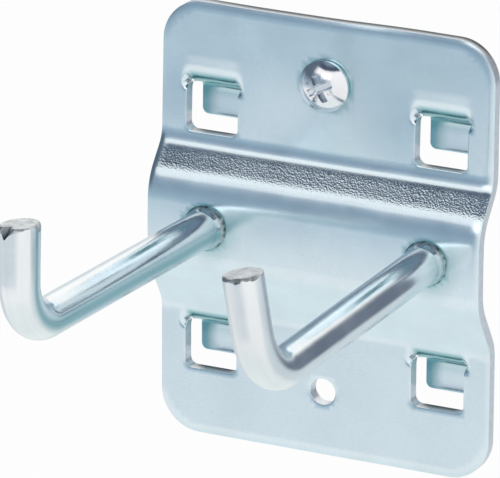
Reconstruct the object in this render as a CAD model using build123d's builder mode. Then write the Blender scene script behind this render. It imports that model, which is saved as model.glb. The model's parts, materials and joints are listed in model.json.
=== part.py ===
from build123d import *

import math
import os

# Double tool holder for a perforated panel. Lengths in millimetres, angles in degrees.
# X runs to the right, Y into the panel and Z up. The panel's front face is the plane Y = 0,
# and the origin is the middle of the plate on that plane.

# Stamped plate
PLATE_WIDTH = 55.0
PLATE_HEIGHT = 68.8
SHEET = 2.0
CORNER_RADIUS = 6.5
EDGE_BREAK = 0.55

# Bead pressed across the plate, towards the front
BEAD_RISE = 4.8
UPPER_STEP_Z = 9.5
LOWER_STEP_Z = -9.5
UPPER_STEP_ANGLE = 37.0
LOWER_STEP_ANGLE = 32.0
FOOT_RADIUS = 5.0
CREST_RADIUS = 8.0

# Windows and lanced tongues, on the panel's grid. Heights are measured from the window's bottom edge.
GRID = 38.0
UPPER_WINDOW_Z = 14.0
WINDOW_WIDTH = 8.7
WINDOW_CORNER = 1.2
BEND_START = 10.5
SLIT_TOP = 7.5
SLIT_WIDTH = 0.25
RELIEF_DIAMETER = 1.0
PANEL_SLOT = 3.0
TONGUE_END = 1.4
TONGUE_CORNER = 1.0

# Holes, each placed from the plate's nearest edge
SCREW_HOLE_EDGE = 9.9
LOWER_HOLE_EDGE = 10.2
LOWER_HOLE_DIAMETER = 4.2

# Locking screw
THREAD_DIAMETER = 4.0
THREAD_CLEARANCE = 0.1
SCREW_LENGTH = 8.0
TIP_CHAMFER = 0.6
HEAD_DIAMETER = 8.0
HEAD_HEIGHT = 2.6
HEAD_RIM = 0.8
RECESS_SPAN = 4.3
RECESS_WIDTH = 1.1
RECESS_DEPTH = 1.7
RECESS_TAPER = 7.0
RECESS_TURN = 27.0
TICK_RADIUS = 1.9
TICK_LENGTH = 0.9
TICK_WIDTH = 0.25
TICK_DEPTH = 0.6

# Wire hooks
WIRE_DIAMETER = 6.0
HOOK_REACH = 56.0
HOOK_RISE = 16.5
BEND_RADIUS = 8.0
WELD_DIAMETER = 7.2
WELD_HEIGHT = 2.4
WELD_TAPER = 27.0

# Where each hook is welded on the bead, and how far it is out of square:
# lean is about the shank, swing is sideways and lift is upwards, with the slope of its sheared end.
HOOKS = {
    "left_hook": {"x": -17.8, "z": 0.7, "lean": -0.7, "swing": -1.6, "lift": 0.8, "end_slope": 5.0},
    "right_hook": {"x": 18.8, "z": 0.75, "lean": 9.3, "swing": 0.3, "lift": -0.75, "end_slope": 0.0},
}

PLATE_FRONT = -SHEET
BEAD_FRONT = PLATE_FRONT - BEAD_RISE
CUT_DEPTH = SHEET + PANEL_SLOT + SHEET + BEAD_RISE
SCREW_HOLE_Z = PLATE_HEIGHT / 2 - SCREW_HOLE_EDGE
LOWER_HOLE_Z = LOWER_HOLE_EDGE - PLATE_HEIGHT / 2
WINDOW_ROWS = (UPPER_WINDOW_Z, UPPER_WINDOW_Z - GRID)
WINDOW_COLUMNS = (-GRID / 2, GRID / 2)


def step_run(angle):
    """Half the height over which a step of the bead rises, between its two corners."""
    return BEAD_RISE / 2 / math.tan(math.radians(angle))


def front_plane(x, z):
    """The panel's plane, seen from the front, with its origin at (x, z)."""
    return Plane(origin=(x, 0, z), x_dir=(1, 0, 0), z_dir=(0, -1, 0))


def side_plane(x, z):
    """The upright plane across the plate at x: local X into the panel, local Y up from z."""
    return Plane(origin=(x, 0, z), x_dir=(0, 1, 0), z_dir=(1, 0, 0))


def turned_plane(x, y, z):
    """The level plane at z for turned profiles: local X is the radius, local Y runs into the panel."""
    return Plane(origin=(x, y, z), x_dir=(1, 0, 0), z_dir=(0, 0, 1))


def hook_plane(x, z, lean, swing, lift):
    """The plane of a hook's middle line: local X along its shank, local Y up."""
    square = Plane(origin=(x, BEAD_FRONT, z), x_dir=(0, -1, 0), z_dir=(-1, 0, 0))
    return square.rotated((-lift, -lean, swing))


# Back plate
upper_run = step_run(UPPER_STEP_ANGLE)
lower_run = step_run(LOWER_STEP_ANGLE)
flat_middle = -SHEET / 2
bead_middle = flat_middle - BEAD_RISE
bead_corners = (
    (flat_middle, -PLATE_HEIGHT / 2),
    (flat_middle, LOWER_STEP_Z - lower_run),
    (bead_middle, LOWER_STEP_Z + lower_run),
    (bead_middle, UPPER_STEP_Z - upper_run),
    (flat_middle, UPPER_STEP_Z + upper_run),
    (flat_middle, PLATE_HEIGHT / 2),
)
bead_radii = (FOOT_RADIUS, CREST_RADIUS, CREST_RADIUS, FOOT_RADIUS)
tongue_middle = PANEL_SLOT + SHEET / 2
tongue_radius = (tongue_middle - flat_middle) / 2
slit_middle = (WINDOW_WIDTH - SLIT_WIDTH) / 2

with BuildPart() as back_plate:
    with BuildSketch(Plane.YZ):
        with BuildLine() as bead_line:
            FilletPolyline(*bead_corners, radius=bead_radii)
        trace(bead_line.line, line_width=SHEET)
    extrude(amount=PLATE_WIDTH / 2, both=True)
    fillet(back_plate.edges().filter_by(Axis.Y), CORNER_RADIUS)

    # Edge that the stamping breaks along the front of the outline
    rim_faces = back_plate.faces().filter_by(lambda face: abs(face.normal_at().Y) < 0.01)
    front_faces = back_plate.faces().filter_by(lambda face: face.normal_at().Y < -0.1)
    chamfer(rim_faces.edges() & front_faces.edges(), EDGE_BREAK)

    for window_z in WINDOW_ROWS:
        for window_x in WINDOW_COLUMNS:
            with BuildSketch(front_plane(window_x, window_z)) as window:
                Rectangle(WINDOW_WIDTH, BEND_START, align=(Align.CENTER, Align.MIN))
                fillet(window.vertices().group_by(Axis.Z)[0], WINDOW_CORNER)
                with Locations((-slit_middle, SLIT_TOP), (slit_middle, SLIT_TOP)):
                    Circle(RELIEF_DIAMETER / 2)
            extrude(amount=CUT_DEPTH, both=True, mode=Mode.SUBTRACT)

            # The tongue is bent back and down again, so the panel's sheet fits between it and the plate
            with BuildSketch(side_plane(window_x, window_z)):
                with BuildLine() as tongue_line:
                    bend_back = JernArc((flat_middle, BEND_START), (0, -1), tongue_radius, 90)
                    bend_down = JernArc(bend_back @ 1, bend_back % 1, tongue_radius, -90)
                    Line(bend_down @ 1, (tongue_middle, TONGUE_END))
                trace(tongue_line.line, line_width=SHEET)
            extrude(amount=WINDOW_WIDTH / 2, both=True)

            # Slits part the tongue from the window's sides, up to the round notches
            with BuildSketch(front_plane(window_x, window_z)):
                with Locations((-slit_middle, TONGUE_END), (slit_middle, TONGUE_END)):
                    Rectangle(SLIT_WIDTH, SLIT_TOP - TONGUE_END, align=(Align.CENTER, Align.MIN))
            extrude(amount=CUT_DEPTH, both=True, mode=Mode.SUBTRACT)

    with BuildSketch(Plane.XZ):
        with Locations((0, SCREW_HOLE_Z)):
            Circle(THREAD_DIAMETER / 2 + THREAD_CLEARANCE)
        with Locations((0, LOWER_HOLE_Z)):
            Circle(LOWER_HOLE_DIAMETER / 2)
    extrude(amount=CUT_DEPTH, both=True, mode=Mode.SUBTRACT)

    tongue_ends = [window_z + TONGUE_END for window_z in WINDOW_ROWS]
    end_edges = back_plate.edges().filter_by(Axis.Y).filter_by(lambda edge: edge.center().Y > PANEL_SLOT)
    fillet(end_edges.filter_by(lambda edge: any(abs(edge.center().Z - z) < 0.01 for z in tongue_ends)),
           TONGUE_CORNER)
back_plate.part.label = "back_plate"

# Wire hooks
hooks = []
for name, seat in HOOKS.items():
    wire_plane = hook_plane(seat["x"], seat["z"], seat["lean"], seat["swing"], seat["lift"])
    end_centre = wire_plane.from_local_coords((HOOK_REACH, HOOK_RISE))
    end_plane = Plane(origin=end_centre, x_dir=wire_plane.z_dir, z_dir=wire_plane.y_dir)
    with BuildPart() as hook:
        with BuildLine(wire_plane) as wire_line:
            FilletPolyline(
                (WELD_HEIGHT / 4, 0),
                (HOOK_REACH, 0),
                (HOOK_REACH, HOOK_RISE + WIRE_DIAMETER / 2),
                radius=BEND_RADIUS,
            )
        with BuildSketch(Plane(origin=wire_line.line @ 0, z_dir=wire_line.line % 0)):
            Circle(WIRE_DIAMETER / 2)
        sweep(path=wire_line.line)
        split(bisect_by=end_plane.rotated((0, -seat["end_slope"], 0)), keep=Keep.BOTTOM)

        # Metal squeezed out round the shank by the weld
        with BuildSketch(front_plane(seat["x"], seat["z"]).offset(-BEAD_FRONT)):
            Circle(WELD_DIAMETER / 2)
        extrude(amount=WELD_HEIGHT, taper=WELD_TAPER)
    hook.part.label = name
    hooks.append(hook)

# Locking screw
dome_rise = HEAD_HEIGHT - HEAD_RIM
dome_radius = ((HEAD_DIAMETER / 2) ** 2 + dome_rise**2) / (2 * dome_rise)

with BuildPart() as locking_screw:
    with BuildSketch(turned_plane(0, PLATE_FRONT, SCREW_HOLE_Z)):
        with BuildLine():
            dome = RadiusArc((0, -HEAD_HEIGHT), (HEAD_DIAMETER / 2, -HEAD_RIM), -dome_radius)
            Polyline(
                dome @ 1,
                (HEAD_DIAMETER / 2, 0),
                (THREAD_DIAMETER / 2, 0),
                (THREAD_DIAMETER / 2, SCREW_LENGTH - TIP_CHAMFER),
                (THREAD_DIAMETER / 2 - TIP_CHAMFER, SCREW_LENGTH),
                (0, SCREW_LENGTH),
                dome @ 0,
            )
        make_face()
    revolve(axis=Axis((0, PLATE_FRONT, SCREW_HOLE_Z), (0, 1, 0)))

    recess_plane = Plane(
        origin=(0, PLATE_FRONT - HEAD_HEIGHT, SCREW_HOLE_Z),
        x_dir=(math.cos(math.radians(RECESS_TURN)), 0, math.sin(math.radians(RECESS_TURN))),
        z_dir=(0, 1, 0),
    )
    with BuildSketch(recess_plane):
        Rectangle(RECESS_SPAN, RECESS_WIDTH)
        Rectangle(RECESS_WIDTH, RECESS_SPAN)
    extrude(amount=RECESS_DEPTH, taper=RECESS_TAPER, mode=Mode.SUBTRACT)
    with BuildSketch(recess_plane):
        with PolarLocations(TICK_RADIUS, 4, start_angle=45):
            Rectangle(TICK_LENGTH, TICK_WIDTH)
    extrude(amount=TICK_DEPTH, mode=Mode.SUBTRACT)
locking_screw.part.label = "locking_screw"

os.makedirs("parts", exist_ok=True)
for piece in (back_plate, *hooks, locking_screw):
    export_step(piece.part, f"parts/{piece.part.label}.step")
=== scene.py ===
import json
import math

import bmesh
import bpy
import numpy as np
from mathutils import Matrix, Vector, noise
from mathutils.geometry import delaunay_2d_cdt


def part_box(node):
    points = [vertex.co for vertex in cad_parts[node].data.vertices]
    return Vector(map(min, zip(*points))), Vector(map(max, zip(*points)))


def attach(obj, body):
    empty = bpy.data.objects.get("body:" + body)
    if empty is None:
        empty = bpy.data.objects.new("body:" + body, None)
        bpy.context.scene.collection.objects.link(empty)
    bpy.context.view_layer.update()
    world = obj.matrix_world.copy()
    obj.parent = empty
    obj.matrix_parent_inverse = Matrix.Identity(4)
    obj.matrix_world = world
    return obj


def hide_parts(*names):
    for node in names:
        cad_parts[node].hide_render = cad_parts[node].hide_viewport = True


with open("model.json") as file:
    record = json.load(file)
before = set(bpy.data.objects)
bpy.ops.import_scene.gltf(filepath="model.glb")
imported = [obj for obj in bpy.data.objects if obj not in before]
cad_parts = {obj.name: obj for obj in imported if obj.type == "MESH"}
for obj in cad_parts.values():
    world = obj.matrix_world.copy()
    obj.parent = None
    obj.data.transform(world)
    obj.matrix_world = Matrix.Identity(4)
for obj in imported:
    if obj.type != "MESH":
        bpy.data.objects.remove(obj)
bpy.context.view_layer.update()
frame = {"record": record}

# Double tool holder: a pressed plate, two welded wire hooks and a locking screw.
# Lengths in millimetres and angles in degrees. A mesh is scaled to metres when it is made.
# X runs to the right, Y into the panel and Z up, from the middle of the plate on the panel's front face.
MM = 0.001
MOUNTS = {mount["name"]: mount for mount in frame["record"]["mounts"]}
PLATE_LOW, PLATE_HIGH = [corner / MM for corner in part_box("back_plate")]
SCREW_LOW, SCREW_HIGH = [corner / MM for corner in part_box("locking_screw")]
LOWER_HOLE = MOUNTS["lower_screw_hole"]

# Plate
HALF_WIDTH = PLATE_HIGH.x
HALF_HEIGHT = PLATE_HIGH.z
SHEET = LOWER_HOLE["dims"]["length_mm"]
CORNER_RADIUS = 6.5
RIM_BREAK = 0.6
CUT_BREAK = 0.14
HOLE_BREAK = 0.14
ROLL_DEPTH = 0.47
ROLL_REACH = 1.8
ROLL_RINGS = (0.12, 0.3, 0.55, 0.85, 1.2, ROLL_REACH)
TOP_DARK = 1.5
WINDOW_DARK = 1.3
WAVE = 0.05
WAVE_LENGTH = 17.0
WAVE_MARGIN = 9.0

# Bead
BEAD_RISE = -PLATE_LOW.y - SHEET
STEP_Z = 9.5
STRETCHED = (8.4, 11.4)
STRETCH_EDGE = 0.4
UPPER_STEP_ANGLE = 39.2
LOWER_STEP_ANGLE = 32.0
FOOT_RADIUS = 5.0
CREST_RADIUS = 8.0
CROWN = 0.05
BEAD_SAG = 0.24
TOP_BOW = 0.35
STREAK = 0.26
STREAK_SPAN = 38.0
STREAK_X = -4.5
STREAK_RISE = (12.0, 27.0)

# Windows and tongues, with heights from the window's bottom edge
GRID = MOUNTS["panel_hang"]["dims"]["spacing_x_mm"]
UPPER_WINDOW_Z = 14.0
WINDOW_HALF = 4.35
WINDOW_CORNER = 1.2
SLIT_WIDTH = 0.25
SLIT_TOP = 7.5
NOTCH_RADIUS = 0.4
BEND_START = 10.5
BEND_END = 4.0
FOLD_LEVEL = 4.4
TONGUE_END = 1.4
TONGUE_CORNER = 1.0
TONGUE_MIDDLE = PLATE_HIGH.y - SHEET / 2
BEND_RADIUS = (TONGUE_MIDDLE + SHEET / 2) / 2
POCKET_FLAT = 3.4
POCKET_SIDE = 5.4
POCKET_TOP = 12.2
POCKET_DRAW = 0.06

# Screw
SCREW_Z = (SCREW_LOW.z + SCREW_HIGH.z) / 2
HEAD_RADIUS = (SCREW_HIGH.x - SCREW_LOW.x) / 2
HEAD_RIM = 0.8
HEAD_HEIGHT = 2.6
RIM_ROUND = 0.15
THREAD_RADIUS = 2.0
THREAD_DEPTH = 0.38
THREAD_PITCH = 0.7
TIP_CHAMFER = 0.6
RECESS_SPAN = 4.3
RECESS_WIDTH = 1.1
RECESS_DEPTH = 1.7
RECESS_TAPER = 7.0
RECESS_CORNER = 0.22
RECESS_TURN = 27.0
TICK_RADIUS = 1.9
TICK_LENGTH = 0.9
TICK_WIDTH = 0.25
TICK_DEPTH = 0.18

# Hooks. Bearings go round the wire from the outside of its bend, and to the right on its upturned end.
# A chip is its bearing and spread, its depth down the wire, its width across the end and how dark it is.
WIRE_RADIUS = MOUNTS["left_arm"]["dims"]["r_mm"]
HOOK_RISE = 16.5
HOOK_BEND = 8.0
WELD_RADIUS = 3.5
WELD_RUN = 1.6
WELD_SHARE = 0.4
WELD_SINK = 0.4
END_RUN = 2.2
FLOW_SHRINK = 0.06
# A painted teal shade band runs down each wire at this bearing; stain in ENDS is how strong it is.
SHADE_BAND_BEARING = 84.0
ENDS = {
    "left_hook": {
        "slope": 5.0,
        "stain": 0.85,
        "frost": 0.04,
        "seed": 3.0,
        "chips": ((-19.0, 23.0, 1.4, 1.2, 1.2), (104.0, 22.0, 1.0, 0.6, 0.3), (30.0, 20.0, 0.3, 0.2, 0.2)),
    },
    "right_hook": {
        "slope": 0.0,
        "stain": 0.06,
        "frost": 0.15,
        "seed": 11.0,
        "chips": ((6.0, 15.0, 0.6, 0.4, 0.9), (56.0, 26.0, 0.5, 0.3, 0.7), (-40.0, 20.0, 0.5, 0.35, 0.8)),
    },
}

# How closely the points of the plate, the screw and the hooks lie
RIM_SPACING = 0.6
HOLE_SPACING = 0.25
SLOT_SPACING = 0.3
ROW_SPACING = 0.8
ROW_GAP = 0.12
COLUMN_SPACING = 0.9
FINE_SPACING = 0.3
POINT_GAP = 0.16
SCREW_SIDES = 96
THREAD_STEPS = 12
RECESS_SPACING = 0.08
TICK_SPACING = 0.12
DOME_SPACING = 0.2
DOME_GAP = 0.07
WIRE_SIDES = 96
WELD_ZONE = 2.0
WELD_SPACING = 0.08
SHANK_SPACING = 2.0
BEND_RINGS = 40
ARM_SPACING = 1.0
EDGE_RINGS = 5
FACE_RINGS = 8

# Camera, by its bearing and height round a target
CAMERA_BEARING = 26.156
CAMERA_HEIGHT = 18.876
CAMERA_ROLL = 0.342
CAMERA_LENS = 442.3
CAMERA_SENSOR = 36.0
CAMERA_DISTANCE = 931.85
CAMERA_TARGET = Vector((-13.409, 0.0, -2.416))

# Floor and lamp
FLOOR_Z = -110.0
FLOOR_RADIUS = 4000.0
FLOOR_COLOUR = (0.9, 0.9, 0.9, 1.0)
FLOOR_GLOW = 0.92
LAMP_SIZE = 900.0
LAMP_POWER = 12.0
LAMP_PLACE = Vector((-500.0, -1000.0, 1400.0))

# Light that the metal sees, as colours at elevations: in front of the plate, beside it and behind it
WHITE = (1.0, 1.02, 1.0)
TABLE = (1.1, 1.06, 1.04)
HAZE = (0.5, 0.61, 0.7)
GAP_BLUE = (0.33, 0.41, 0.5)
SOFT_BOX = (1.26, 1.2, 1.18)
CEILING = (0.05, 0.08, 0.13)
ROOF = (0.28, 0.34, 0.42)
FAR_WALL = (0.76, 0.81, 0.84)
BRIGHT = (1.25, 1.2, 1.16)
BELOW = ((-90, WHITE), (-48, WHITE), (-38, TABLE), (-21.8, TABLE))
ACROSS = ((-13.5, HAZE), (10, GAP_BLUE), (24, GAP_BLUE), (30.5, SOFT_BOX))
ABOVE = ((44.5, SOFT_BOX), (46.2, CEILING), (56, CEILING), (68, ROOF), (90, ROOF))
WALL = ((-90, WHITE), (-48, WHITE), (-32, FAR_WALL), (10, FAR_WALL), (18, BRIGHT), (45, BRIGHT))
BEHIND = WALL + ((65, ROOF), (90, ROOF))
AHEAD_BAND = (-100, 8, 14)
BEHIND_FROM = (-0.03, 0.2)

# Dark flags and a bright window in that light. Each is an angle round the plate with its low end, high end
# and soft edge, the same three for the elevation, and its colour.
PATCHES = (
    ("bearing", (13, 42, 5), (-13.5, 27, 4), (0.17, 0.2, 0.26)),
    ("facing", (-115, -52, 8), (2, 58, 8), (0.13, 0.17, 0.22)),
    ("facing", (-18, 14, 5), (20, 34, 4), (2.2, 2.15, 2.1)),
)


# Plain shapes
def smooth(low, high, value):
    """0 below low and 1 above high, with a soft step between them."""
    step = np.clip((value - low) / (high - low), 0, 1)
    return step * step * (3 - 2 * step)


def line(start, end, spacing):
    """Points from start towards end, without the end itself."""
    start, end = np.array(start, float), np.array(end, float)
    count = max(1, round(np.linalg.norm(end - start) / spacing))
    return start + (end - start) * np.arange(count)[:, None] / count


def arc(centre, radius, start, end, spacing):
    """Points along an arc, without its end."""
    count = max(3, round(math.radians(abs(end - start)) * radius / spacing))
    angles = np.radians(start + (end - start) * np.arange(count) / count)
    return np.array(centre) + radius * np.column_stack((np.cos(angles), np.sin(angles)))


def rounded_rectangle(half_width, half_height, radius, spacing):
    """Outline of a rectangle with round corners, about the origin."""
    x, z = half_width - radius, half_height - radius
    return np.concatenate((
        arc((x, z), radius, 0, 90, spacing),
        line((x, half_height), (-x, half_height), spacing),
        arc((-x, z), radius, 90, 180, spacing),
        line((-half_width, z), (-half_width, -z), spacing),
        arc((-x, -z), radius, 180, 270, spacing),
        line((-x, -half_height), (x, -half_height), spacing),
        arc((x, -z), radius, 270, 360, spacing),
        line((half_width, -z), (half_width, z), spacing),
    ))


def inside(points, loops):
    """Whether each point lies within an odd number of the loops."""
    odd = np.zeros(len(points), bool)
    x, z = points[:, 0], points[:, 1]
    for loop in loops:
        for (x0, z0), (x1, z1) in zip(loop, np.roll(loop, -1, axis=0)):
            if z0 != z1:
                odd ^= ((z0 > z) != (z1 > z)) & (x < (x1 - x0) * (z - z0) / (z1 - z0) + x0)
    return odd


def clearance(points, loops):
    """Distance from each point to the nearest point of the loops."""
    cut = np.concatenate(loops)
    near = [np.sqrt(((part[:, None] - cut) ** 2).sum(2)).min(1) for part in np.array_split(points, 40)]
    return np.concatenate(near)


def triangles(loops, others):
    """Triangles between the loops, over the loops' points and the others."""
    points = np.concatenate((*loops, others)) if len(others) else np.concatenate(loops)
    edges, first = [], 0
    for loop in loops:
        edges += [(first + i, first + (i + 1) % len(loop)) for i in range(len(loop))]
        first += len(loop)
    made = delaunay_2d_cdt([Vector(point) for point in points.tolist()], edges, [], 0, 1e-7)
    source = np.array([origin[0] for origin in made[3]])
    faces = source[np.array(made[2])]
    return points, faces[inside(points[faces].mean(1), loops)]


def strip(count, low, high):
    """Faces between two closed rings of points, which begin at these numbers."""
    ids = np.arange(count)
    after = np.roll(ids, -1)
    return np.column_stack((ids + low, after + low, after + high, ids + high)).tolist()


def make_piece(name, points, faces, node, slot, materials, sharp, picks=(), **shade_and_marks):
    """A closed mesh of the object, from points in millimetres, that stands for one of its solids."""
    mesh = bpy.data.meshes.new(name)
    mesh.from_pydata((np.array(points) * MM).tolist(), [], faces)
    for material in materials:
        mesh.materials.append(material)
    if len(picks):
        mesh.polygons.foreach_set("material_index", np.array(picks, np.int32))
    shell = bmesh.new()
    shell.from_mesh(mesh)
    bmesh.ops.recalc_face_normals(shell, faces=shell.faces)
    shell.to_mesh(mesh)
    shell.free()
    mesh.polygons.foreach_set("use_smooth", np.ones(len(mesh.polygons), bool))
    mesh.set_sharp_from_angle(angle=math.radians(sharp))
    piece = bpy.data.objects.new(name, mesh)
    bpy.context.scene.collection.objects.link(piece)
    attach(piece, "root")
    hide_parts(node)
    for label, values in shade_and_marks.items():
        stain = mesh.attributes.new(label, "FLOAT", "POINT")
        stain.data.foreach_set("value", np.array(values, np.float32))
    return piece


# Materials. Zinc is tinted teal by a painted shade in folds, beside welds and round the screw. Cut steel is
# darkened where its attribute says so: in the chips of the wires' torn ends, at the weld's foot with weld
# burn and painted contact shade together, and towards the back of the plate's top wall and window bottoms.
TEAL_SHADE = (0.2, 0.42, 0.46, 1.0)
DARK_STEEL = (0.05, 0.07, 0.08, 1.0)
CLOUD_SCALE = 160.0
ZINC, CUT, WELD = range(3)


class Nodes:
    """Short names for the nodes of one shader."""

    def __init__(self, tree):
        self.tree = tree
        tree.nodes.clear()

    def add(self, kind, **inputs):
        node = self.tree.nodes.new("ShaderNode" + kind)
        for name, value in inputs.items():
            self.put(node.inputs[name.replace("_", " ")], value)
        return node

    def put(self, socket, value):
        if isinstance(value, bpy.types.NodeSocket):
            self.tree.links.new(value, socket)
        else:
            socket.default_value = value

    def math(self, operation, first, second=0.0, third=0.0):
        node = self.add("Math")
        node.operation = operation
        for socket, value in zip(node.inputs, (first, second, third)):
            self.put(socket, value)
        return node.outputs[0]

    def mix(self, factor, first, second):
        node = self.add("MixRGB")
        for socket, value in zip(node.inputs, (factor, first, second)):
            self.put(socket, value)
        return node.outputs[0]

    def noise(self, vector, scale, detail=2.0, roughness=0.5):
        node = self.add("TexNoise", Vector=vector, Scale=scale, Detail=detail, Roughness=roughness)
        return node.outputs["Fac"]

    def ramp(self, factor, stops):
        """Colours at elevations, where the factor runs from straight down to straight up."""
        node = self.add("ValToRGB", Fac=factor)
        elements = node.color_ramp.elements
        while len(elements) < len(stops):
            elements.new(0.5)
        for element, (elevation, colour) in zip(elements, stops):
            element.position = (math.sin(math.radians(elevation)) + 1) / 2
            element.color = (*colour, 1.0)
        return node.outputs["Color"]

    def attribute(self, name, output="Fac"):
        """A value that a mesh carries at its points."""
        node = self.add("Attribute")
        node.attribute_name = name
        return node.outputs[output]

    def remap(self, value, start, end, low=0.0, high=1.0):
        """A value from low to high as another goes from start to end."""
        node = self.add("MapRange")
        for socket, number in zip(node.inputs, (value, start, end, low, high)):
            self.put(socket, number)
        return node.outputs[0]

    def band(self, value, low, high, soft):
        """1 for values between low and high, with soft edges."""
        rising = self.remap(value, low - soft, low + soft)
        falling = self.remap(value, high + soft, high - soft)
        return self.math("MULTIPLY", rising, falling)

    def degrees(self, operation, *values):
        """An angle from an inverse function, in degrees."""
        return self.math("MULTIPLY", self.math(operation, *values), 180 / math.pi)

    def spread(self, factor, low, high):
        """A value from low to high as the factor goes from 0.3 to 0.7, the usual span of a noise."""
        return self.remap(factor, 0.3, 0.7, low, high)


def shaded(colour, factor):
    """A lighter or darker colour, as red, green, blue and alpha."""
    return (*(min(1.0, value * factor) for value in colour), 1.0)


def new_material(name):
    """A material and its empty shader."""
    material = bpy.data.materials.new(name)
    material.use_nodes = True
    return material, Nodes(material.node_tree)


def finish_metal(shader, tint, roughness, relief, depth):
    """Bare metal with a fine relief, as the result of a shader."""
    bump = shader.add("Bump", Strength=1.0, Distance=depth * MM, Height=relief)
    steel = shader.add("BsdfPrincipled", Base_Color=tint, Metallic=1.0, Normal=bump.outputs[0])
    shader.put(steel.inputs["Roughness"], roughness)
    shader.add("OutputMaterial", Surface=steel.outputs[0])


def stretched_skin(shader, place, scale, peel):
    """Dimples where the bead's upper step is stretched, deeper towards its right end."""
    spot = shader.add("SeparateXYZ", Vector=place)
    low, high = (value * MM for value in STRETCHED)
    stretched = shader.band(spot.outputs["Z"], low, high, STRETCH_EDGE * MM)
    to_right = shader.math("MULTIPLY_ADD", spot.outputs["X"], 0.25 / (HALF_WIDTH * MM), 0.75)
    dimples = shader.add("TexVoronoi", Vector=place, Scale=scale).outputs["Distance"]
    depth = shader.math("MULTIPLY", stretched, peel)
    return shader.math("MULTIPLY", depth, shader.math("MULTIPLY", dimples, to_right))


def zinc(name, colour, gloss, grain, grain_scale, grain_depth, flow=False, peel=0.0, dents=0.0):
    """Bright zinc on steel: a cloudy tint, uneven gloss, and a fine grain or lines drawn along the wire.

    Peel is how coarse the skin is where it is stretched, and dents is how uneven it is elsewhere.
    """
    material, shader = new_material(name)
    place = shader.add("TexCoord").outputs["Object"]
    cloud = shader.noise(place, CLOUD_SCALE, 4.0)
    if flow:
        speck = shader.noise(shader.attribute("flow", "Vector"), grain_scale, 3.0, 0.6)
    else:
        speck = shader.noise(place, grain_scale, 2.0, 0.6)
    tint = shader.mix(shader.spread(cloud, 0.0, 1.0), shaded(colour, 0.95), shaded(colour, 1.04))
    tint = shader.mix(shader.spread(speck, 0.0, grain), tint, shaded(colour, 0.8))
    # Painted teal shade, as much as the mesh's shade attribute gives.
    tint = shader.mix(shader.attribute("teal"), tint, TEAL_SHADE)
    relief = shader.math("MULTIPLY_ADD", cloud, dents, speck)
    if peel:
        skin = stretched_skin(shader, place, grain_scale * 0.75, peel)
        relief = shader.math("ADD", skin, relief)
    clouded = shader.spread(cloud, gloss * 0.85, gloss * 1.15)
    roughness = shader.math("ADD", clouded, shader.attribute("frost"))
    finish_metal(shader, tint, roughness, relief, grain_depth)
    return material


def cut_steel(name, colour, gloss, depth, scale, shade=0.62):
    """A sheared face: torn, with coarse and fine grain."""
    material, shader = new_material(name)
    place = shader.add("TexCoord").outputs["Object"]
    coarse = shader.noise(place, scale, 3.0, 0.6)
    fine = shader.noise(place, scale * 3.5, 2.0, 0.6)
    tint = shader.mix(shader.spread(coarse, 0.0, 1.0), shaded(colour, shade), shaded(colour, 1.0))
    # Darker where the mesh's attribute says so, which at the weld's foot holds painted contact shade as
    # well as weld burn.
    tint = shader.mix(shader.attribute("torn"), tint, DARK_STEEL)
    relief = shader.math("MULTIPLY_ADD", fine, 0.5, coarse)
    roughness = shader.spread(fine, gloss * 0.8, gloss * 1.2)
    finish_metal(shader, tint, roughness, relief, depth)
    return material


SHEET_ZINC = zinc(
    "sheet_zinc", (0.66, 0.785, 0.85),
    gloss=0.19, grain=0.3, grain_scale=4800.0, grain_depth=0.005, peel=6.0,
)
SHEET_CUT = cut_steel("sheet_cut", (0.76, 0.8, 0.84), gloss=0.38, depth=0.005, scale=900.0, shade=0.86)
WIRE_ZINC = zinc(
    "wire_zinc", (0.76, 0.82, 0.85),
    gloss=0.18, grain=0.25, grain_scale=1.6, grain_depth=0.01, flow=True, dents=5.0,
)
WIRE_CUT = cut_steel("wire_cut", (0.8, 0.85, 0.87), gloss=0.45, depth=0.05, scale=900.0)
WELD_ZINC = cut_steel("weld_zinc", (0.76, 0.88, 0.9), gloss=0.36, depth=0.05, scale=2200.0)
SCREW_ZINC = zinc(
    "screw_zinc", (0.76, 0.8, 0.84),
    gloss=0.14, grain=0.2, grain_scale=2400.0, grain_depth=0.006,
)


# Pressed plate
def bend_knots():
    """Heights at which the bead's bends begin and end, with the sine of the sheet's tilt there."""
    heights, sines = [], []
    for sign, angle in ((-1, LOWER_STEP_ANGLE), (1, UPPER_STEP_ANGLE)):
        tilt = math.radians(angle)
        run = BEAD_RISE / 2 / math.tan(tilt)
        foot = STEP_Z + run + FOOT_RADIUS * math.tan(tilt / 2)
        crest = STEP_Z - run - CREST_RADIUS * math.tan(tilt / 2)
        steep = math.sin(tilt)
        bends = (foot, foot - FOOT_RADIUS * steep, crest + CREST_RADIUS * steep, crest)
        heights += [sign * z for z in bends]
        sines += [0.0, sign * steep, sign * steep, 0.0]
    order = np.argsort(heights)
    return np.array(heights)[order], np.array(sines)[order]


KNOT_Z, KNOT_SINE = bend_knots()
LINE_Z = np.linspace(-HALF_HEIGHT - 1, HALF_HEIGHT + 1, 7001)
LINE_SINE = np.interp(LINE_Z, KNOT_Z, KNOT_SINE)
LINE_SLOPE = LINE_SINE / np.sqrt(1 - LINE_SINE**2)
LINE_Y = -SHEET / 2 + np.cumsum(LINE_SLOPE) * (LINE_Z[1] - LINE_Z[0])
WINDOWS = [(x, z) for z in (UPPER_WINDOW_Z, UPPER_WINDOW_Z - GRID) for x in (-GRID / 2, GRID / 2)]


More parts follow.
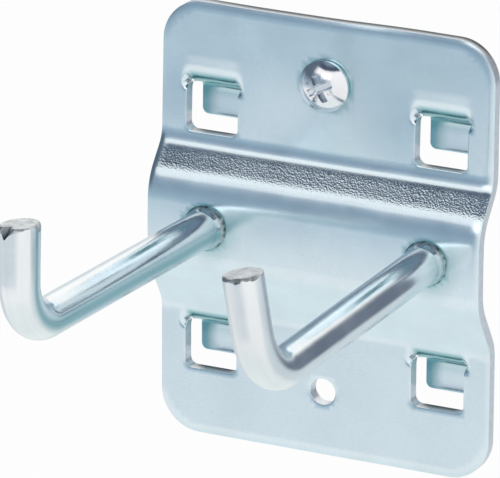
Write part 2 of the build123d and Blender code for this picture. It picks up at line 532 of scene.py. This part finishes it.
def tongue_place(above, height):
    """Depth and height of the bent tongue, above the window's bottom, for a level of the blank."""
    quarter = BEND_RADIUS * math.pi / 2
    front = BEND_RADIUS + SHEET / 2
    dip = np.clip((BEND_START - above) / front, 0, 1)
    shown = BEND_RADIUS * math.asin((BEND_START - SLIT_TOP) / front)
    full = 2 * quarter + BEND_START - 2 * BEND_RADIUS - TONGUE_END
    levels = (TONGUE_END, TONGUE_END + TONGUE_CORNER, BEND_END, SLIT_TOP)
    along = np.interp(above, levels, (full, full - TONGUE_CORNER, 2 * quarter, shown))
    along = np.where(above >= SLIT_TOP, BEND_RADIUS * np.arcsin(dip), along)
    turn = np.where(along < quarter, along, np.maximum(2 * quarter - along, 0)) / BEND_RADIUS
    first = along < quarter
    y = np.where(first, -1, 1) * BEND_RADIUS * np.cos(turn) + BEND_RADIUS - SHEET / 2
    z = np.where(first, -1, 1) * BEND_RADIUS * np.sin(turn) - np.where(first, 0, 2 * BEND_RADIUS)
    z = z - np.maximum(along - 2 * quarter, 0) + np.maximum(above - BEND_START, 0)
    return y - np.cos(turn) * height, BEND_START + z - np.sin(turn) * height


def sheet_bow(x, z, middle):
    """How far the pressed sheet lies behind its even shape: sag, bow, streak, crown and waves."""
    raised = -(middle + SHEET / 2) / BEAD_RISE
    sag = BEAD_SAG * raised * (1 - (x / HALF_WIDTH) ** 2)
    bow = TOP_BOW * np.clip((z - KNOT_Z[-1]) / (HALF_HEIGHT - KNOT_Z[-1]), 0, 1) ** 1.5
    streak = STREAK * np.cos((x - STREAK_X) / STREAK_SPAN * 2 * math.pi) * smooth(*STREAK_RISE, z)
    crest_middle, crest_half = (KNOT_Z[4] + KNOT_Z[3]) / 2, (KNOT_Z[4] - KNOT_Z[3]) / 2
    crown = CROWN * np.clip(1 - ((z - crest_middle) / crest_half) ** 2, 0, 1)
    wave = np.sin(x / WAVE_LENGTH * 2 * math.pi + 0.6) * np.cos(z / WAVE_LENGTH * 1.3 + 0.4)
    wave = WAVE * wave * smooth(HALF_WIDTH, HALF_WIDTH - WAVE_MARGIN, np.abs(x))
    return sag + bow - streak - crown + wave


def tongue_shift(x, z, height, window_x, window_z):
    """How far points of the blank move back and up, where a tongue is bent and its pocket is drawn."""
    across, above = np.abs(x - window_x), z - window_z
    near = (across < POCKET_SIDE) & (above > TONGUE_END - 0.1) & (above < POCKET_TOP)
    low = above < SLIT_TOP
    tongue = near & low & (across < WINDOW_HALF - SLIT_WIDTH / 2)
    beside = near & low & ~tongue
    side = 1 - smooth(POCKET_FLAT, POCKET_SIDE, across)
    share = np.where(tongue, 1 - (1 - side) * smooth(SLIT_TOP - 1, SLIT_TOP, above), side)
    share = np.where(beside, side * smooth(SLIT_TOP - 1.2, SLIT_TOP, above), share) * near
    level = np.where(beside, SLIT_TOP, above)
    bent_y, bent_z = tongue_place(level, height)
    drawn = POCKET_DRAW * (1 - smooth(BEND_START - 0.5, POCKET_TOP, level))
    back = share * (bent_y + SHEET / 2 + height + drawn)
    return back, np.where(beside, 0, share * (bent_z - level))


def pressed(x, z, height):
    """Where points of the flat blank end up. Height is across the sheet, from its middle to the front."""
    sine = np.interp(z, KNOT_Z, KNOT_SINE)
    middle = np.interp(z, LINE_Z, LINE_Y)
    y = middle - np.sqrt(1 - sine**2) * height + sheet_bow(x, z, middle)
    up = z + sine * height
    for window in WINDOWS:
        back, rise = tongue_shift(x, z, height, *window)
        y = y + back
        up = up + rise
    return np.column_stack((x, y, up))


def tongue_shade(across, above):
    """How much painted teal shade a tongue gets: in its fold and along its left side."""
    within = (np.abs(across) < WINDOW_HALF + 0.2) & (above > TONGUE_END - 0.1) & (above < BEND_START)
    sides = 1 - smooth(3.6, WINDOW_HALF + 0.2, np.abs(across))
    fold = smooth(BEND_START - 0.8, BEND_START - 1.9, above) * sides
    tongue = 0.8 * (1 - smooth(-3.8, -0.8, across)) + 0.5 * smooth(3.0, FOLD_LEVEL, above)
    tongue = np.minimum(tongue, 1) * (np.abs(across) < WINDOW_HALF - SLIT_WIDTH / 2)
    return within * np.where(above > FOLD_LEVEL, fold, tongue)


def weld_shade(across, above):
    """How much painted teal shade the bead gets beside a weld: close round it, and faintly further out on
    its lower right.
    """
    ring = np.hypot(across, above)
    low_right = smooth(-0.5, 0.9, (across - 0.5 * above) / (ring + 0.1))
    close = 1 - smooth(WELD_RADIUS, WELD_RADIUS + 0.6, ring)
    return np.maximum(close, 0.45 * low_right * (1 - smooth(3.0, 7.0, ring)))


def plate_shade(x, z):
    """How much painted teal shade the plate's front gets: on the tongues, beside the screw and round the
    welds.
    """
    head = np.hypot(x, z - SCREW_Z)
    # Painted contact shade round the screw's head.
    teal = 0.9 * (1 - smooth(HEAD_RADIUS, HEAD_RADIUS + 0.6, head))
    for window_x, window_z in WINDOWS:
        teal = np.maximum(teal, tongue_shade(x - window_x, z - window_z))
    for side in ("left", "right"):
        middle = Vector(MOUNTS[side + "_shank"]["pos_m"]) / MM
        out = Vector(MOUNTS[side + "_shank"]["axis"])
        weld = middle + out * (PLATE_LOW.y - middle.y) / out.y
        teal = np.maximum(teal, weld_shade(x - weld.x, z - weld.z))
    return teal


def dark_cut(x, z):
    """How dark the far side of the sheared wall is: along the plate's top and the bottom of each window."""
    dark = TOP_DARK * smooth(HALF_HEIGHT - 4.0, HALF_HEIGHT - 0.3, z) * smooth(-HALF_WIDTH - 8, -10, x)
    for window_x, window_z in WINDOWS:
        across = np.abs(x - window_x)
        bottom = smooth(0.3, 0.1, np.abs(z - window_z)) * smooth(WINDOW_HALF, 2.0, across)
        dark = np.maximum(dark, WINDOW_DARK * bottom)
    return dark


def slot_loop(window_x, window_z, inset, spacing):
    """The cut round a tongue: the window's sides and bottom, both notches and the tongue's own edge."""
    middle = WINDOW_HALF - SLIT_WIDTH / 2
    outer, inner = WINDOW_HALF + inset, WINDOW_HALF - SLIT_WIDTH - inset
    notch = NOTCH_RADIUS + inset
    half = outer - middle
    drop = math.sqrt(notch**2 - half**2)
    lean = math.degrees(math.atan2(drop, half))
    corner, nose = WINDOW_CORNER + inset, max(TONGUE_CORNER - inset, 0.2)
    bottom, end, side = -inset, TONGUE_END + inset, SLIT_TOP - drop
    loop = np.concatenate((
        line((-outer, side), (-outer, bottom + corner), spacing),
        arc((-outer + corner, bottom + corner), corner, 180, 270, spacing),
        line((-outer + corner, bottom), (outer - corner, bottom), spacing),
        arc((outer - corner, bottom + corner), corner, 270, 360, spacing),
        line((outer, bottom + corner), (outer, side), spacing),
        arc((middle, SLIT_TOP), notch, -lean, 180 + lean, spacing / 3),
        line((inner, side), (inner, end + nose), spacing),
        arc((inner - nose, end + nose), nose, 0, -90, spacing),
        line((inner - nose, end), (nose - inner, end), spacing),
        arc((nose - inner, end + nose), nose, 270, 180, spacing),
        line((-inner, end + nose), (-inner, side), spacing),
        arc((-middle, SLIT_TOP), notch, -lean, 180 + lean, spacing / 3),
    ))
    return loop + (window_x, window_z)


def break_depth(distance, size):
    """How far the edge that the punch rolls over lies below the face, at a distance from the cut."""
    return ROLL_DEPTH * size * np.clip(1 - distance / (ROLL_REACH * size), 0, 1) ** 1.5


def plate_cuts():
    """Every cut edge of the blank, as (edge break, loop maker), where the maker takes an inset."""
    def outline(inset):
        sizes = (size - inset for size in (HALF_WIDTH, HALF_HEIGHT, CORNER_RADIUS))
        return rounded_rectangle(*sizes, RIM_SPACING)

    def hole(z):
        return lambda inset: arc((0, z), LOWER_HOLE["dims"]["r_mm"] + inset, 0, 360, HOLE_SPACING)

    def slot(window):
        return lambda inset: slot_loop(*window, inset, SLOT_SPACING)

    lower_hole_z = LOWER_HOLE["pos_m"][2] / MM
    holes = [(HOLE_BREAK, hole(z)) for z in (SCREW_Z, lower_hole_z)]
    return [(RIM_BREAK, outline), *holes, *((CUT_BREAK, slot(window)) for window in WINDOWS)]


def plate_grid():
    """Points over the blank, closer together where it is bent."""
    margin = 2 * FINE_SPACING
    rows = np.unique(np.concatenate((
        np.arange(-HALF_HEIGHT, HALF_HEIGHT, ROW_SPACING),
        np.arange(KNOT_Z[0] - margin, KNOT_Z[3] + margin, FINE_SPACING),
        np.arange(KNOT_Z[4] - margin, KNOT_Z[7] + margin, FINE_SPACING),
    )).round(3))
    rows = rows[np.concatenate(([True], np.diff(rows) > ROW_GAP))]
    columns = np.arange(-HALF_WIDTH, HALF_WIDTH + 0.1, COLUMN_SPACING)
    points = [np.stack(np.meshgrid(columns, rows), -1).reshape(-1, 2)]
    for window_x, window_z in WINDOWS:
        fine_x = np.arange(-POCKET_SIDE - COLUMN_SPACING, POCKET_SIDE + 1, FINE_SPACING)
        fine_z = np.arange(TONGUE_END, POCKET_TOP + margin, FINE_SPACING)
        fine = np.stack(np.meshgrid(fine_x, fine_z), -1).reshape(-1, 2) + (window_x, window_z)
        low, high = fine.min(0) - 0.2, fine.max(0) + 0.2
        kept = ((points[0] < low) | (points[0] > high)).any(1)
        points = [points[0][kept], *points[1:], fine]
    return np.concatenate(points)


def plate_blank():
    """The flat blank: its cuts, its points and triangles, and how deep the punch rolls each point."""
    cuts = plate_cuts()
    loops = [loop_at(0.0) for _, loop_at in cuts]
    depths = [np.full(len(loop), break_depth(0.0, size)) for loop, (size, _) in zip(loops, cuts)]
    rings = []
    for size, loop_at in cuts:
        for inset in size * np.array(ROLL_RINGS):
            rings.append(loop_at(inset))
            depths.append(np.full(len(rings[-1]), break_depth(inset, size)))
    grid = plate_grid()
    grid = grid[inside(grid, loops)]
    clear = [clearance(grid, [loop]) - ROLL_REACH * size for loop, (size, _) in zip(loops, cuts)]
    grid = grid[np.min(clear, axis=0) > POINT_GAP]
    blank, front = triangles(loops, np.concatenate((*rings, grid)))
    return loops, blank, front, np.concatenate((*depths, np.zeros(len(grid))))


def make_plate():
    loops, blank, front, depth = plate_blank()
    count = len(blank)
    x, z = blank.T
    points = np.concatenate((
        pressed(x, z, SHEET / 2 - depth),
        pressed(x, z, np.full(count, -SHEET / 2)),
    ))
    faces = front.tolist() + (front[:, ::-1] + count).tolist()
    picks = [ZINC] * len(faces)
    first = 0
    for loop in loops:
        faces += strip(len(loop), first, first + count)
        picks += [CUT] * len(loop)
        first += len(loop)
    clean = np.zeros(count)
    make_piece(
        "pressed_plate", points, faces, "back_plate", "zinc_sheet", (SHEET_ZINC, SHEET_CUT),
        sharp=34, picks=picks,
        teal=np.concatenate((plate_shade(x, z), clean)),
        torn=np.concatenate((clean, dark_cut(x, z))),
    )


# Wire hooks
def ripple(bearing, along, seed, turns=1.0, pitch=1.0):
    """A smooth uneven value between -1 and 1 that closes round the wire."""
    turn = math.radians(bearing)
    return noise.noise(Vector((turns * math.cos(turn) + seed, turns * math.sin(turn), along / pitch)))


def gap(first, second):
    """Angle between two bearings."""
    return abs((first - second + 180) % 360 - 180)


def weld_swell(bearing, along, seed):
    """How far the metal squeezed out by the weld stands out from the wire."""
    run = WELD_RUN * (1 + 0.25 * ripple(bearing, 0.0, seed, 2.0))
    swell = (WELD_RADIUS - WIRE_RADIUS) * (1 + 0.16 * ripple(bearing, along, seed + 5, 5.0, 0.6))
    shape = (1 - min(max(along / run, 0.0), 1.0)) ** 1.4
    return swell * shape + 0.035 * shape * ripple(bearing, along, seed + 9, 14.0, 0.25)


def end_chip(bearing, end):
    """How far a torn edge runs down the wire and into its end, at a bearing, and how dark it is."""
    down, inward = 0.12, 0.1
    dark = 0.0
    for middle, spread, depth, width, shade in end["chips"]:
        share = math.exp(-((gap(bearing, middle) / spread) ** 2))
        down += depth * share
        inward += width * share
        dark += shade * share
    rough = 1 + 0.45 * ripple(bearing, 0.0, end["seed"], 9.0)
    return down * rough, inward * rough, min(max(dark * rough, 0.0), 1.0)


class Wire:
    """A bent wire, made ring by ring from its weld to its sheared end."""

    def __init__(self, side, end):
        shank, arm = MOUNTS[side + "_shank"], MOUNTS[side + "_arm"]
        self.end = end
        self.out, self.up = Vector(shank["axis"]).normalized(), Vector(arm["axis"]).normalized()
        self.right = self.up.cross(self.out)
        middle = Vector(shank["pos_m"]) / MM
        half = (Vector(arm["pos_m"]) / MM - middle).dot(self.out)
        self.start = middle - self.out * half
        self.straight = 2 * half - HOOK_BEND
        self.bent = self.straight + HOOK_BEND * math.pi / 2
        self.length = self.bent + HOOK_RISE - HOOK_BEND
        self.points, self.flows, self.shade_and_marks = [], [], []

    def lengths(self):
        """Where the rings lie along the wire, closest together at its weld."""
        return np.concatenate((
            np.arange(-WELD_SINK, WELD_ZONE, WELD_SPACING),
            np.arange(WELD_ZONE + 0.5, self.straight, SHANK_SPACING),
            np.linspace(self.straight, self.bent, BEND_RINGS),
            np.arange(self.bent + ARM_SPACING, self.length - END_RUN, ARM_SPACING),
        ))

    def frame_at(self, along):
        """Middle of the wire and the outside of its bend, at a length along it."""
        if along < self.straight:
            return self.start + self.out * along, -self.up
        turn = min((along - self.straight) / HOOK_BEND, math.pi / 2)
        outer = self.out * math.sin(turn) - self.up * math.cos(turn)
        centre = self.start + self.out * self.straight + self.up * HOOK_BEND
        return centre + outer * HOOK_BEND + self.up * max(along - self.bent, 0.0), outer

    def end_height(self, bearing, radius):
        """Length along the wire at which its sheared end lies."""
        tilt = math.tan(math.radians(self.end["slope"]))
        return self.length + radius * math.sin(math.radians(bearing)) * tilt

    def on_shank(self, bearing, along):
        """Length and radius of the wire, with the weld's metal round it."""
        return along, WIRE_RADIUS + weld_swell(bearing, along, self.end["seed"])

    def on_edge(self, bearing, share):
        """Length and radius up to the torn edge."""
        edge = self.end_height(bearing, WIRE_RADIUS) - end_chip(bearing, self.end)[0]
        return (self.length - END_RUN) * (1 - share) + share * edge, WIRE_RADIUS

    def on_chip(self, bearing, share):
        """Length and radius over the torn edge."""
        down, inward, _ = end_chip(bearing, self.end)
        rough = 0.03 * (1 + ripple(bearing, share, self.end["seed"] + 2, 12.0, 0.3))
        along = self.end_height(bearing, WIRE_RADIUS) - down * (1 - share) ** 1.5 - rough
        return along, WIRE_RADIUS - inward * share

    def on_face(self, bearing, share):
        """Length and radius across the sheared face."""
        rough = 0.07 * (1 + ripple(bearing, share * 3, self.end["seed"] + 4, 5.0 * share, 0.4))
        along = self.end_height(bearing, WIRE_RADIUS * share) - rough
        return along, (WIRE_RADIUS - end_chip(bearing, self.end)[1]) * share

    def shade_and_marks_at(self, bearing, along, chipped):
        """How much painted teal shade, how dark and how frosted the wire is."""
        spread = 24 - 15 * smooth(self.straight - 4, self.bent, along)
        # Painted teal shade: a band down the wire at its bearing, narrowing towards the bend, and contact
        # shade next to the weld.
        drawn = self.end["stain"] * math.exp(-((gap(bearing, SHADE_BAND_BEARING) / spread) ** 2))
        teal = max(0.85 * (1 - smooth(0.2, 1.1, along)), drawn)
        # Dark at the weld's foot: weld burn and painted contact shade together.
        burn_and_shade = 0.6 + 1.1 * ripple(bearing, along, self.end["seed"] + 7, 5.0, 0.4)
        burn_and_shade = min(max(burn_and_shade, 0.0), 1.0) * (1 - smooth(0.15, 0.7, along))
        torn = max(chipped * end_chip(bearing, self.end)[2], 0.9 * burn_and_shade)
        return teal, torn, self.end["frost"] * smooth(self.straight, self.bent, along)

    def add_ring(self, place, step, chipped=0.0):
        """A ring of points, whose length along the wire and radius at each bearing are given by place."""
        for bearing in np.arange(WIRE_SIDES) * 360 / WIRE_SIDES:
            along, radius = place(bearing, step)
            centre, outer = self.frame_at(along)
            turn = math.radians(bearing)
            spoke = outer * math.cos(turn) + self.right * math.sin(turn)
            self.points.append(centre + spoke * radius)
            self.flows.append((radius * math.cos(turn), radius * math.sin(turn), along * FLOW_SHRINK))
            self.shade_and_marks.append(self.shade_and_marks_at(bearing, along, chipped))


def make_hook(name):
    side = name.split("_")[0]
    wire = Wire(side, ENDS[name])
    lengths = wire.lengths()
    for along in lengths:
        wire.add_ring(wire.on_shank, along)
    for share in np.linspace(0.5, 1.0, EDGE_RINGS):
        wire.add_ring(wire.on_edge, share, 1.0)
    for share in (0.35, 0.7, 1.0):
        wire.add_ring(wire.on_chip, share, 1.2 - share)
    for share in np.linspace(0.86, 0.12, FACE_RINGS):
        wire.add_ring(wire.on_face, share)

    last = len(wire.points) - WIRE_SIDES
    faces = [list(range(WIRE_SIDES))[::-1]]
    for first in range(0, last, WIRE_SIDES):
        faces += strip(WIRE_SIDES, first, first + WIRE_SIDES)
    faces.append(list(range(last, last + WIRE_SIDES)))
    weld = int(np.searchsorted(lengths, WELD_RUN * WELD_SHARE))
    plain = len(lengths) + EDGE_RINGS - 1 - weld
    skins = [WELD] * weld + [ZINC] * plain + [CUT] * (last // WIRE_SIDES - weld - plain)
    picks = [ZINC, *np.repeat(skins, WIRE_SIDES), CUT]
    teal, torn, frost = zip(*wire.shade_and_marks)
    piece = make_piece(
        side + "_wire_hook", wire.points, faces, name, "zinc_wire", (WIRE_ZINC, WIRE_CUT, WELD_ZINC),
        sharp=42, picks=picks, teal=teal, torn=torn, frost=frost,
    )
    flow = piece.data.attributes.new("flow", "FLOAT_VECTOR", "POINT")
    flow.data.foreach_set("vector", np.array(wire.flows, np.float32).ravel())


# Locking screw
HEAD_FRONT = -SHEET - HEAD_HEIGHT
DOME_EDGE = -SHEET - HEAD_RIM
DOME_RISE = DOME_EDGE - HEAD_FRONT
DOME_RADIUS = (HEAD_RADIUS**2 + DOME_RISE**2) / (2 * DOME_RISE)


def dome_y(flat):
    """Depth of the head's dome at points of its plane."""
    return HEAD_FRONT + DOME_RADIUS - np.sqrt(DOME_RADIUS**2 - (flat**2).sum(1))


def on_screw(flat, y):
    """Points of the screw's plane, turned as its recess is and set at a depth."""
    turned = np.array(flat) @ np.array(Matrix.Rotation(math.radians(RECESS_TURN), 2)).T
    return np.column_stack((turned[:, 0], np.broadcast_to(y, len(turned)), turned[:, 1] + SCREW_Z))


def recess_loop(spacing):
    """Outline of the cross recess, with round inner and outer corners."""
    far, near, corner = RECESS_SPAN / 2, RECESS_WIDTH / 2, RECESS_CORNER
    wing = np.concatenate((
        line((far, corner - near), (far, near - corner), spacing),
        arc((far - corner, near - corner), corner, 0, 90, spacing),
        line((far - corner, near), (near + corner, near), spacing),
        arc((near + corner, near + corner), corner, 270, 180, spacing),
        line((near, near + corner), (near, far - corner), spacing),
        arc((near - corner, far - corner), corner, 0, 90, spacing),
    ))
    turns = [np.array(Matrix.Rotation(math.pi / 2 * quarter, 2)) for quarter in range(4)]
    return np.concatenate([wing @ turn.T for turn in turns])


def recess_floor(recess):
    """Outline of the recess's floor, between its tapered walls."""
    narrow = RECESS_DEPTH * math.tan(math.radians(RECESS_TAPER))
    levels = np.array((0, RECESS_WIDTH / 2, RECESS_SPAN / 2))
    return np.sign(recess) * np.interp(np.abs(recess), levels, levels - (0, narrow, narrow))


def tick_loop(quarter, spacing):
    """Outline of one of the short marks between the recess's wings."""
    x, z = TICK_LENGTH / 2, TICK_WIDTH / 2
    corners = ((x, -z), (x, z), (-x, z), (-x, -z))
    sides = [line(corners[i], corners[(i + 1) % 4], spacing) for i in range(4)]
    turn = np.array(Matrix.Rotation(math.pi / 4 + math.pi / 2 * quarter, 2))
    return (np.concatenate(sides) + (TICK_RADIUS, 0)) @ turn.T


def screw_head(circle):
    """The dome with its recess and marks: sets of points, and the faces between them."""
    recess = recess_loop(RECESS_SPACING)
    ticks = [tick_loop(quarter, TICK_SPACING) for quarter in range(4)]
    loops = [circle * HEAD_RADIUS, recess, *ticks]
    radii = np.arange(2 * DOME_SPACING, HEAD_RADIUS - 0.05, DOME_SPACING)
    spots = np.concatenate([circle[:: 1 if radius > 2 else 2] * radius for radius in radii])
    spots = spots[inside(spots, loops) & (clearance(spots, loops) > DOME_GAP)]
    flat, front = triangles(loops, spots)
    points, faces = [on_screw(flat, dome_y(flat))], front.tolist()
    floors = [(recess_floor(recess), HEAD_FRONT + RECESS_DEPTH)]
    floors += [(tick, dome_y(tick) + TICK_DEPTH) for tick in ticks]
    first, base = SCREW_SIDES, len(flat)
    for floor, y in floors:
        points.append(on_screw(floor, y))
        faces += strip(len(floor), base, first)
        _, cover = triangles([floor], np.empty((0, 2)))
        faces += (cover + base).tolist()
        first += len(floor)
        base += len(floor)
    return points, faces


def screw_rings(circle):
    """Rings of points down the rim, under the head and along the thread to the tip."""
    tip = SCREW_HIGH.y
    profile = [(HEAD_RADIUS, DOME_EDGE + 0.1), (HEAD_RADIUS, -SHEET - RIM_ROUND)]
    for turn in np.radians((30, 60, 90)):
        radius = HEAD_RADIUS - RIM_ROUND * (1 - math.cos(turn))
        profile.append((radius, -SHEET - RIM_ROUND * (1 - math.sin(turn))))
    profile.append((THREAD_RADIUS + 0.05, -SHEET))
    rings = [on_screw(circle * radius, y) for radius, y in profile]
    phase = np.arange(SCREW_SIDES) / SCREW_SIDES
    for y in np.arange(-SHEET + 0.02, tip + 0.001, THREAD_PITCH / THREAD_STEPS):
        ridge = np.abs(((y / THREAD_PITCH - phase) % 1) * 2 - 1)
        groove = THREAD_DEPTH * np.clip(1.25 - 1.5 * ridge, 0, 1) * smooth(0.1, 0.8, y + SHEET)
        limit = THREAD_RADIUS - TIP_CHAMFER * smooth(tip - TIP_CHAMFER, tip, y)
        rings.append(on_screw(circle * np.minimum(THREAD_RADIUS - groove, limit)[:, None], y))
    return rings


def make_screw():
    angles = np.arange(SCREW_SIDES) * 2 * math.pi / SCREW_SIDES
    circle = np.column_stack((np.cos(angles), np.sin(angles)))
    points, faces = screw_head(circle)
    above, base = 0, sum(len(part) for part in points)
    for ring in screw_rings(circle):
        points.append(ring)
        faces += strip(SCREW_SIDES, above, base)
        above = base
        base += SCREW_SIDES
    faces.append(list(range(above, base)))
    make_piece(
        "pan_head_screw", np.concatenate(points), faces, "locking_screw", "zinc_screw", (SCREW_ZINC,),
        sharp=36,
    )


make_plate()
make_hook("left_hook")
make_hook("right_hook")
make_screw()


# Studio
def make_studio():
    """White for the camera. The metal sees a soft box in front, the gap below it and a dark ceiling."""
    world = bpy.data.worlds.new("studio")
    bpy.context.scene.world = world
    world.use_nodes = True
    shader = Nodes(world.node_tree)
    way = shader.add("SeparateXYZ", Vector=shader.add("TexCoord").outputs["Generated"])
    x, y, z = way.outputs
    angles = {
        "bearing": shader.degrees("ARCTAN2", x, y),
        "facing": shader.degrees("ARCTAN2", x, shader.math("MULTIPLY", y, -1.0)),
    }
    elevation = shader.degrees("ARCSINE", z)
    height = shader.math("MULTIPLY_ADD", z, 0.5, 0.5)
    ahead = shader.ramp(height, BELOW + ACROSS + ABOVE)
    aside = shader.ramp(height, BELOW + ABOVE)
    behind = shader.ramp(height, BEHIND)
    front = shader.mix(shader.band(angles["facing"], *AHEAD_BAND), aside, ahead)
    studio = shader.mix(shader.remap(y, *BEHIND_FROM), front, behind)
    for angle, around, upright, colour in PATCHES:
        sides = shader.band(angles[angle], *around)
        patch = shader.math("MULTIPLY", sides, shader.band(elevation, *upright))
        studio = shader.mix(patch, studio, (*colour, 1.0))
    path = shader.add("LightPath")
    plain = shader.math("MAXIMUM", path.outputs["Is Camera Ray"], path.outputs["Is Transmission Ray"])
    seen = shader.mix(plain, studio, (*WHITE, 1.0))
    light = shader.add("Background", Color=seen, Strength=1.0)
    shader.add("OutputWorld", Surface=light.outputs[0])


def make_floor():
    bpy.ops.mesh.primitive_circle_add(
        vertices=96, radius=FLOOR_RADIUS * MM, fill_type="NGON", location=(0, 0, FLOOR_Z * MM)
    )
    floor = bpy.context.object
    floor.name = "floor"
    floor.visible_glossy = False
    material, shader = new_material("floor")
    matt = shader.add("BsdfDiffuse", Color=FLOOR_COLOUR)
    glow = shader.add("Emission", Color=(1.0, 1.0, 1.0, 1.0), Strength=1.0)
    share = shader.math("MULTIPLY", shader.add("LightPath").outputs["Is Camera Ray"], FLOOR_GLOW)
    mixed = shader.add("MixShader", Fac=share)
    shader.put(mixed.inputs[1], matt.outputs[0])
    shader.put(mixed.inputs[2], glow.outputs[0])
    shader.add("OutputMaterial", Surface=mixed.outputs[0])
    floor.data.materials.append(material)


def make_lamp():
    data = bpy.data.lights.new("soft_lamp", "AREA")
    data.size = LAMP_SIZE * MM
    data.energy = LAMP_POWER
    lamp = bpy.data.objects.new("soft_lamp", data)
    lamp.location = LAMP_PLACE * MM
    lamp.rotation_mode = "QUATERNION"
    lamp.rotation_quaternion = LAMP_PLACE.to_track_quat("Z", "Y")
    lamp.visible_glossy = False
    bpy.context.scene.collection.objects.link(lamp)


def make_camera():
    bearing, height = math.radians(CAMERA_BEARING), math.radians(CAMERA_HEIGHT)
    roll = math.radians(CAMERA_ROLL)
    flat = math.cos(height)
    back = Vector((math.sin(bearing) * flat, -math.cos(bearing) * flat, math.sin(height)))
    right = Vector((math.cos(bearing), math.sin(bearing), 0.0))
    up = back.cross(right)
    across = right * math.cos(roll) + up * math.sin(roll)
    upright = up * math.cos(roll) - right * math.sin(roll)
    data = bpy.data.cameras.new("photo_camera")
    data.lens = CAMERA_LENS
    data.sensor_width = CAMERA_SENSOR
    data.sensor_fit = "HORIZONTAL"
    camera = bpy.data.objects.new("photo_camera", data)
    place = Matrix((across, upright, back)).transposed().to_4x4()
    place.translation = (CAMERA_TARGET + back * CAMERA_DISTANCE) * MM
    camera.matrix_world = place
    bpy.context.scene.collection.objects.link(camera)
    bpy.context.scene.camera = camera


make_studio()
make_floor()
make_lamp()
make_camera()
bpy.context.scene.view_settings.view_transform = "Standard"
